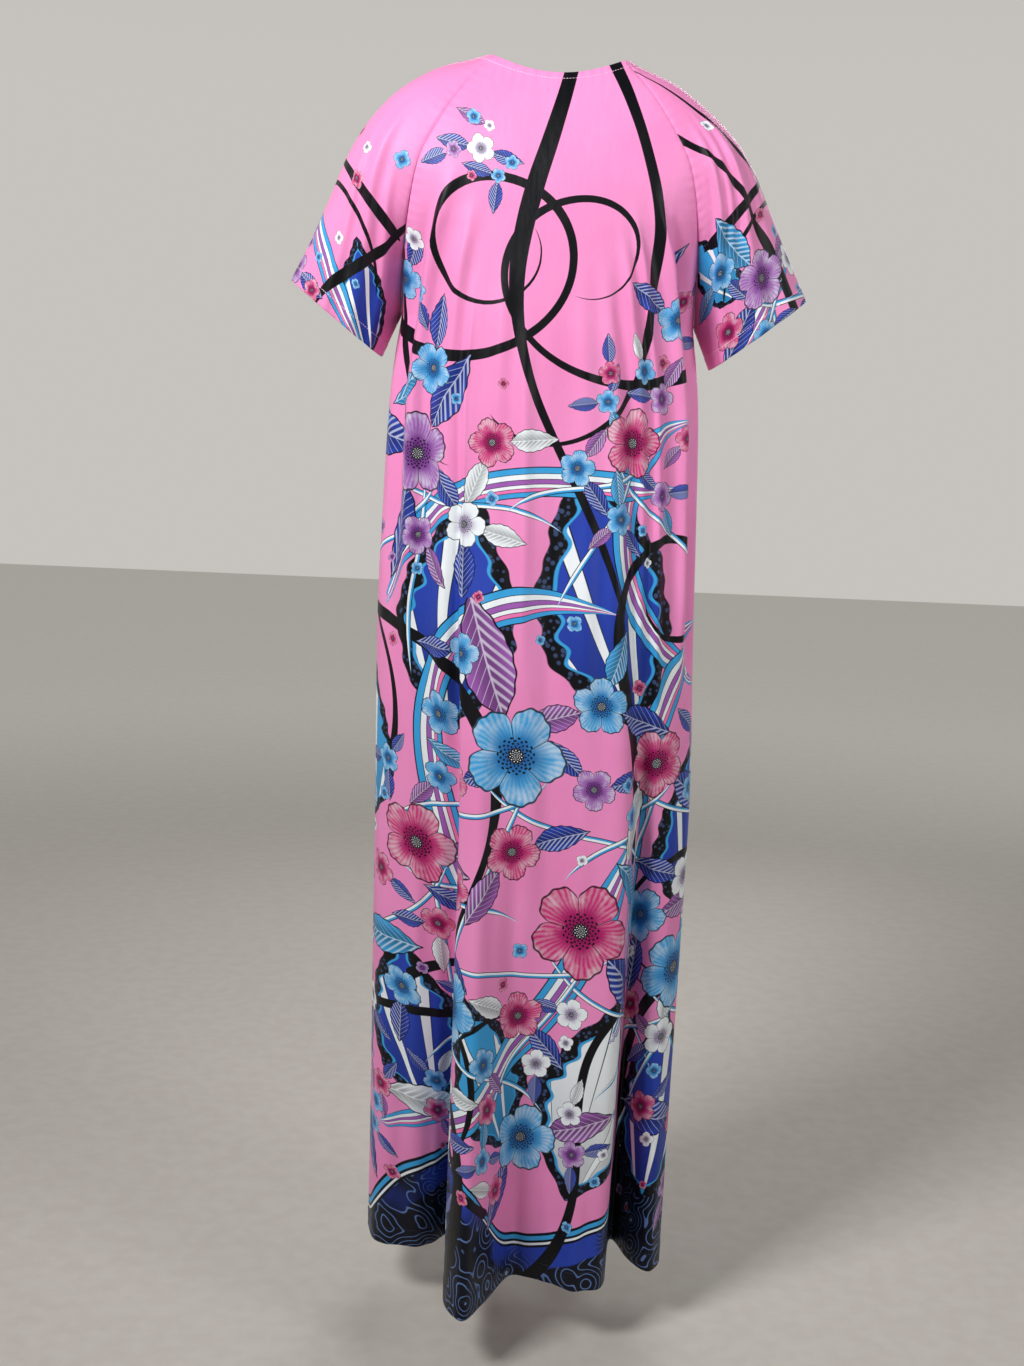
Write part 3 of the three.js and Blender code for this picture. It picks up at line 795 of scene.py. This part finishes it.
knit = printed_knit()
body_levels = fine_levels(LENGTH, BODY_STEP, HEM_TURN)
back_points = body_grid(raglan=raglan_back, calm=calm_back, centre=centre_back, hem=hem_back,
                        soft=soft_back, sign=-1)
back, faces, wrong_side = cloth_shell("back_panel", back_points, body_levels, HEM_TURN, False)
body_widths = [0, 100, 275, 600, 900, 1355], [70, 130, 215, 235, 300, 430]
random = np.random.default_rng(41)
bouquet_places = [
    (-138, 420, 80), (120, 400, 66), (-10, 736, 100), (172, 745, 70), (-190, 850, 84),
    (66, 930, 100), (-110, 1015, 76), (250, 985, 84), (-215, 1185, 72), (10, 1180, 74),
    (340, 1170, 76), (-350, 960, 84), (-420, 1150, 70)]
sprays = [(-172, 236, 38), (178, 268, 44), (-62, 96, 27)]
blooms = bouquets(random, bouquet_places + sprays)
back_lines = [
    [line(-140, 960, -100, 560, [10, 4, 26, 40, 10], 20, RIBBON),
     line(235, 660, -150, 380, [10, 40, 56], 17, RIBBON),
     line(-360, 1200, -20, 700, [18, -18, -16, 16], 19, RIBBON)],
    [line(110, 1050, -50, 520, [-36, -10, 30, 30], 18, RIBBON),
     line(-190, 580, -70, 440, [26, 30, 10, -20], 16, RIBBON),
     line(420, 1120, -160, 420, [20, 30, -20], 17, RIBBON)],
    [line(24, -12, 96, 640, [12, -8, -20, 2, 14], 9.5),
     line(-235, 590, 8, 560, [14, 26, 40, 10, -30], 9.5),
     line(-170, 1362, -70, 560, [22, -30, -50, -16, 40], 10),
     line(260, 1360, -104, 620, [-12, 12, 26, 44, 70], 9.5)],
    [line(-225, 262, 38, 800, [-16, -34, -60, -76, -90, -110], 7),
     line(150, 860, -96, 640, [4, -14, 30, 84, 110, 120], 10),
     line(-60, 1250, -150, 420, [30, 50, 60, 70], 6)],
    [line(66, -12, 66, 560, [0, 8, 22, 46, 80], 7.5),
     line(-205, 760, -60, 420, [-30, -50, -70, -100], 5),
     line(20, 1362, -40, 480, [-40, -20, 50, 70], 7)],
    [line(215, 318, 158, 620, [14, 36, 60, 90, 130], 6),
     line(-112, 60, 112, 420, [6, -12, -30, -60], 6),
     line(-250, 1010, -30, 380, [40, 60, 30], 5.5),
     line(330, 1000, -70, 420, [-40, -70, -100], 6)]]
back_design = {
    "lines": back_lines + canes(bouquet_places[:8]),
    "palm": [[-86, 585, -80, 138, 0.2, ROYAL], [96, 560, -104, 150, 0.5, ROYAL],
             [-265, 1070, -80, 115, 0.7, ROYAL], [100, 1120, -76, 130, 0.3, WHITE],
             [270, 1150, -100, 120, 0.9, ROYAL], [-50, 1090, -110, 100, 0.4, SKY],
             [245, 820, -95, 105, 0.6, ROYAL], [-250, 740, -80, 95, 0.8, SKY]],
    "leaf": leaves_by(random, blooms),
    "bud": small_buds(random, 90, body_widths, 330, 1300, bud_tints, blooms),
    "bloom": blooms}
print_layers(back.data, faces, wrong_side, back_points, body_levels, back_design)
back.data.materials.append(knit)
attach(back, "root")
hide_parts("back")

# Front
# The front is cut like the back, with a lower round neck and no opening, because the kaftan pulls
# on over the head. Its folds and its print are guesses that follow the back.
raglan_front = table(RAGLAN, [
    [0, 60, 50, -46, 58, 58], [40, 80, 72, -74, 30, 30], [80, 102, 88, -104, 18, 14],
    [120, 122, 94, -140, 22, 4], [165, 141, 82, -182, 38, -20], [215, 153, 50, -225, 64, -58],
    [275, 160, 6, -275, 82, -90]])
calm_front = table("level y", [[165, 82], [215, 50], [275, 24], [360, 8], [470, 2]])
centre_front = table("level y z", [
    [0, 76, -112], [40, 92, -142], [80, 106, -170], [120, 117, -196], [165, 124, -222],
    [215, 127, -250], [275, 126, -288], [360, 119, -360], [470, 112, -470], [600, 109, -600],
    [760, 108, -760], [950, 107, -950], [1150, 106, -1150], [1355, 105, -1355]])
hem_front = table("share x y", [
    [-1, -170, 55], [-0.86, -165, 100], [-0.68, -138, 130], [-0.54, -108, 108], [-0.44, -90, 74],
    [-0.33, -84, 126], [-0.2, -58, 166], [-0.06, -20, 150], [0.08, 12, 106], [0.22, 28, 96],
    [0.34, 64, 158], [0.46, 98, 140], [0.6, 112, 90], [0.74, 132, 104], [0.88, 172, 100],
    [1, 182, 40]])
soft_front = [
    [-0.72, 0.05, 150, 240, 520, 680, -2, 4], [-0.46, 0.05, 180, 280, 600, 760, 0, 5],
    [-0.28, 0.04, 240, 360, 600, 760, 0, 3.5], [-0.1, 0.045, 260, 380, 600, 760, 0, 3],
    [0.12, 0.045, 260, 380, 620, 760, 0, 3.5], [0.3, 0.04, 240, 360, 600, 760, 0, 4],
    [0.48, 0.045, 180, 280, 600, 760, 0, 5], [0.72, 0.05, 150, 240, 520, 680, 2, 4]]
front_points = body_grid(raglan=raglan_front, calm=calm_front, centre=centre_front, hem=hem_front,
                         soft=soft_front, sign=1)
front, faces, wrong_side = cloth_shell("front_panel", front_points, body_levels, HEM_TURN, True)
random = np.random.default_rng(58)
bouquet_places = [
    (120, 430, 82), (-95, 440, 76), (20, 650, 98), (-165, 700, 70), (180, 800, 84), (-66, 905, 98),
    (115, 1000, 76), (-240, 960, 82), (215, 1160, 70), (-30, 1160, 74), (-320, 1130, 74),
    (340, 950, 80)]
sprays = [(150, 250, 38), (-150, 270, 42)]
blooms = bouquets(random, bouquet_places + sprays)
front_lines = [
    [line(120, 920, -84, 520, [-10, -4, -26, -40, -10], 20, RIBBON),
     line(330, 1200, -160, 640, [-18, 18, 16, -16], 19, RIBBON)],
    [line(-110, 1010, -126, 470, [36, 10, -30, -30], 18, RIBBON),
     line(160, 540, -110, 400, [-26, -30, -10, 20], 16, RIBBON)],
    [line(-40, -12, 90, 600, [-12, 8, 20, -2, -14], 8.5),
     line(230, 570, 172, 560, [-14, -26, -40, -10, 30], 7.5),
     line(160, 1272, -110, 560, [-22, 30, 50, 16, -40], 8)],
    [line(220, 262, 142, 760, [16, 34, 60, 76, 90, 110], 7),
     line(-160, 840, -84, 620, [-4, 14, -30, -84, -110, -120], 8)],
    [line(-70, -12, 116, 560, [0, -8, -22, -46, -80], 7.5),
     line(205, 760, -120, 420, [30, 50, 70, 100], 5)],
    [line(-215, 318, 22, 600, [-14, -36, -60, -90, -130], 6),
     line(100, 40, 70, 420, [-6, 12, 30, 60], 6)]]
front_design = {
    "lines": front_lines + canes(bouquet_places[:8]),
    "palm": [[98, 545, -96, 152, 0.2, ROYAL], [-104, 600, -79, 162, 0.6, ROYAL],
             [230, 1050, -100, 115, 0.4, ROYAL], [-110, 1110, -104, 126, 0.3, WHITE],
             [-245, 800, -84, 105, 0.8, ROYAL], [60, 1090, -70, 100, 0.5, SKY]],
    "leaf": leaves_by(random, blooms),
    "bud": small_buds(random, 90, body_widths, 300, 1240, bud_tints, blooms),
    "bloom": blooms}
print_layers(front.data, faces, wrong_side, front_points, body_levels, front_design)
front.data.materials.append(knit)
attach(front, "root")
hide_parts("front")

# Sleeves
# Each short sleeve is one piece of the same knit, cut with raglan seams that run from the neck to
# the underarm, closed along the underarm and turned up at the hem.
SLEEVE_HEM = 335
SLEEVE_TURN = 18
SLEEVE_STEP = 4.6
TOP = "level x y z reach pull"
top_left = table(TOP, [
    [0, 80, 4, 1, 16, 6], [40, 129, 2, -14, 44, 22], [80, 170, 0, -39, 58, 32],
    [120, 200, 0, -71, 64, 38], [165, 221, 1, -105, 66, 46], [215, 239, 2, -148, 68, 58],
    [275, 258, 4, -192, 70, 72], [335, 281, 5, -240, 72, 73]])
top_right = table(TOP, [
    [0, 80, 4, -1, 16, 6], [40, 126, 2, -22, 44, 20], [80, 165, 0, -50, 58, 28],
    [120, 194, 0, -78, 64, 34], [165, 216, 1, -109, 66, 44], [215, 236, 2, -150, 68, 57],
    [275, 257, 4, -192, 70, 72], [335, 281, 5, -240, 72, 73]])
under_seam = table("level x y z sleeve_turn", [[275, 160, 6, -275, -90], [335, 180, 5, -318, -90]])
soft_left = [
    [-0.8, 0.045, 120, 200, 500, 600, 0, -3], [-0.62, 0.07, 60, 170, 500, 600, 0, -4],
    [-0.44, 0.05, 90, 200, 500, 600, 0, -3], [0.6, 0.07, 80, 190, 500, 600, 0, 4]]
soft_right = [
    [-0.78, 0.045, 70, 150, 500, 600, 0, -4.5], [-0.66, 0.04, 60, 150, 500, 600, 0, -3],
    [-0.5, 0.06, 60, 150, 500, 600, 0, -5], [-0.3, 0.07, 90, 200, 500, 600, 0, -3],
    [0.6, 0.07, 80, 190, 500, 600, 0, 4]]


def sleeve_surface(top, soft, way, level, share):
    """A sleeve as an array of points in millimetres: at each level a quarter arc from each seam to
    the outer line. The arcs start from a calm line that skips the corner at the underarm, and the
    fourth power of the nearness brings them to the real seam."""
    level, share = np.broadcast_arrays(level, share)
    ahead = share > 0

    def either(name):
        read = []
        for raglan in (raglan_back, raglan_front):
            rows = {key: np.append(raglan[key][:-1], under_seam[key][-1]) for key in ("level", name)}
            read.append(steady(rows, name, level))
        return np.where(ahead, read[1], read[0])

    def real(name):
        up = np.minimum(level, UNDERARM)
        back_seam, front_seam = steady(raglan_back, name, up), steady(raglan_front, name, up)
        above = np.where(ahead, front_seam, back_seam)
        return np.where(level < UNDERARM, above, steady(under_seam, name, level))

    sx, sy, sz, turn = either("x"), either("y"), either("z"), np.radians(either("sleeve_turn"))
    ox, oy, oz, reach, pull = [rounded(top, name, level) for name in TOP.split()[1:]]
    sign = np.where(ahead, -1, 1)
    away = np.hypot(ox - sx, oz - sz)
    t = 1 - np.abs(share)
    corner = (1 - t) ** 4
    level_pull = pull * np.cos(turn) / away
    x = bezier(sx, sx + level_pull * (ox - sx), ox, ox, t) + corner * (real("x") - sx)
    y = bezier(sy, sy + pull * sign * np.sin(turn), oy - sign * reach, oy, t)
    y = y + corner * (real("y") - sy)
    z = bezier(sz, sz + level_pull * (oz - sz), oz, oz, t) + corner * (real("z") - sz)
    push = soft_push(soft, level, share)
    return np.stack([way * (x + push[0]), y + push[1], z], -1)


sleeve_levels = fine_levels(SLEEVE_HEM, SLEEVE_STEP, SLEEVE_TURN)
beside = np.array([0, 0.006, 0.014, 0.024, 0.036])
sleeve_shares = np.concatenate([beside - 1, np.linspace(-0.955, 0.955, 84), 1 - beside[::-1]])
sleeve_widths = [0, 100, 335], [30, 120, 160]
sleeve_points = {}
for side, way, top, soft, seed in (("left", -1, top_left, soft_left, 67),
                                   ("right", 1, top_right, soft_right, 93)):
    points = sleeve_surface(top, soft, way, sleeve_levels[:, None], sleeve_shares[None])
    sleeve_points[side] = points
    sleeve, faces, wrong_side = cloth_shell(f"sleeve_panel_{side}", points, sleeve_levels,
                                            SLEEVE_TURN, way < 0)
    random = np.random.default_rng(seed)
    bouquet_places = [(-88 * way, 276, 62), (84, 205, 48), (20 * way, 318, 40)]
    blooms = bouquets(random, bouquet_places)
    design = {
        "lines": [
            [line(-150, 345, -30, 340, [-20, 30, 40], 15, RIBBON)],
            [],
            [line(-50 * way, 365, -80 - 20 * way, 430, [12, -20, 30, 60], 7)],
            [line(64 * way, 352, -110, 380, [-20, 10, 50], 6)],
            [line(-150, 200, -10, 340, [-10, 24, 30], 6)],
            [line(150, 262, -160, 340, [16, -30, -70], 6)],
            *canes(bouquet_places[:2])],
        "palm": [[130 * way, 290, -60, 64, 0.3, ROYAL], [-150 * way, 230, 240, 56, 0.6, SKY]],
        "leaf": leaves_by(random, blooms),
        "bud": small_buds(random, 16, sleeve_widths, 60, 320, [SKY, WHITE, MAGENTA], blooms),
        "bloom": blooms}
    print_layers(sleeve.data, faces, wrong_side, points, sleeve_levels, design)
    sleeve.data.materials.append(knit)
    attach(sleeve, "root")
    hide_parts(f"sleeve_{side}")

# Neck and hem stitching
# The neck edge and the hems are turned once and held by a row of machine stitches, 7.5 mm from the
# neck edge, 18 mm from the sleeve hems and 22 mm from the skirt hem. The thread is pale pink, and
# dark on the dark band of the skirt.
STITCH = 2.7
STITCH_GAP = 0.6
THREAD = 0.32
RAISED = 0.15


def stitches(name, path):
    """One closed six-sided capsule for each stitch along a path, with its ends dipped into the
    cloth. path is rows of a point in millimetres and the unit vector outward."""
    lengths = walked(path[:, :3])
    count = int(lengths[-1] / (STITCH + STITCH_GAP))
    middle = (np.arange(count) + 0.5) * lengths[-1] / count

    def read(at):
        return np.stack([np.interp(at, lengths, column) for column in path.T], -1)

    along = (read(middle + 0.5) - read(middle - 0.5))[:, :3]
    along /= np.linalg.norm(along, axis=1, keepdims=True)
    place, up = np.split(read(middle), 2, axis=1)
    up = up - (up * along).sum(1, keepdims=True) * along
    up /= np.linalg.norm(up, axis=1, keepdims=True)
    across = np.cross(up, along)
    place = place + up * RAISED
    turns = np.arange(6) * math.pi / 3
    rings = np.array([[-0.5, 0.25, -0.35], [-0.38, 0.9, -0.05], [0, 1, 0.1], [0.38, 0.9, -0.05],
                      [0.5, 0.25, -0.35]])
    run, wide, raised = rings.T[..., None]
    body = [run * STITCH + 0 * turns, wide * THREAD * np.cos(turns),
            wide * THREAD * np.sin(turns) + raised]
    body = np.stack(body, -1).reshape(-1, 3)
    points = place[:, None] + body @ np.stack([along, across, up], 1)
    index = np.arange(30).reshape(5, 6)
    turned = np.roll(index, -1, 1)
    quads = np.stack([index[:-1], turned[:-1], turned[1:], index[1:]], -1).reshape(-1, 4)
    caps = np.array([index[0][::-1], index[-1]])
    faces = []
    for first in range(0, 30 * count, 30):
        faces += (quads + first).tolist() + (caps + first).tolist()
    return smooth_piece(name, points, faces)


def thread(name, low, high):
    """Twisted sewing thread, mottled between two colours."""
    material, root, shader = start_material(name, {"Roughness": 0.5, "Sheen Weight": 0.2})
    place = root.node("ShaderNodeTexCoord", {}, {}, out=3)
    feed(root.noise(place, 900.0).ease(0.3, 0.7).mix(low, high), shader, "Base Color")
    twist = root.node("ShaderNodeTexWave", {}, {"Vector": place, "Scale": 1400.0})
    relief = root.node("ShaderNodeBump", {}, {"Strength": 0.4, "Distance": 0.0001, "Height": twist})
    feed(relief, shader, "Normal")
    return material


pale_thread = thread("pale_thread", colour(246, 190, 222), colour(252, 216, 236))
dark_thread = thread("dark_thread", colour(24, 30, 52), colour(34, 42, 70))


def row_near(panel, level):
    """One level of a panel's grid as rows of a point and the unit vector outward."""
    points, levels, flip = panels[panel]
    row = int(np.abs(levels - level).argmin())
    return np.concatenate([points[row], outward(points, flip)[row]], -1)


def joined(*rows):
    """Rows that follow one another as one path, without the first point of each later row."""
    return np.concatenate([rows[0]] + [row[1:] for row in rows[1:]])


panels = {"back": (back_points, body_levels, False), "front": (front_points, body_levels, True),
          "left": (sleeve_points["left"], sleeve_levels, True),
          "right": (sleeve_points["right"], sleeve_levels, False)}
skirt, cuff = LENGTH - HEM_TURN, SLEEVE_HEM - SLEEVE_TURN
neck = {panel: row_near(panel, NECK_TURN) for panel in panels}
sewing = {
    "neck_stitching": joined(neck["back"], neck["right"], neck["front"][::-1], neck["left"][::-1]),
    "hem_stitching": joined(row_near("back", skirt), row_near("front", skirt)[::-1]),
    "sleeve_stitching_left": row_near("left", cuff),
    "sleeve_stitching_right": row_near("right", cuff)}
for name, path in sewing.items():
    piece = stitches(name, path)
    piece.data.materials.append(dark_thread if name == "hem_stitching" else pale_thread)
    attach(piece, "root")
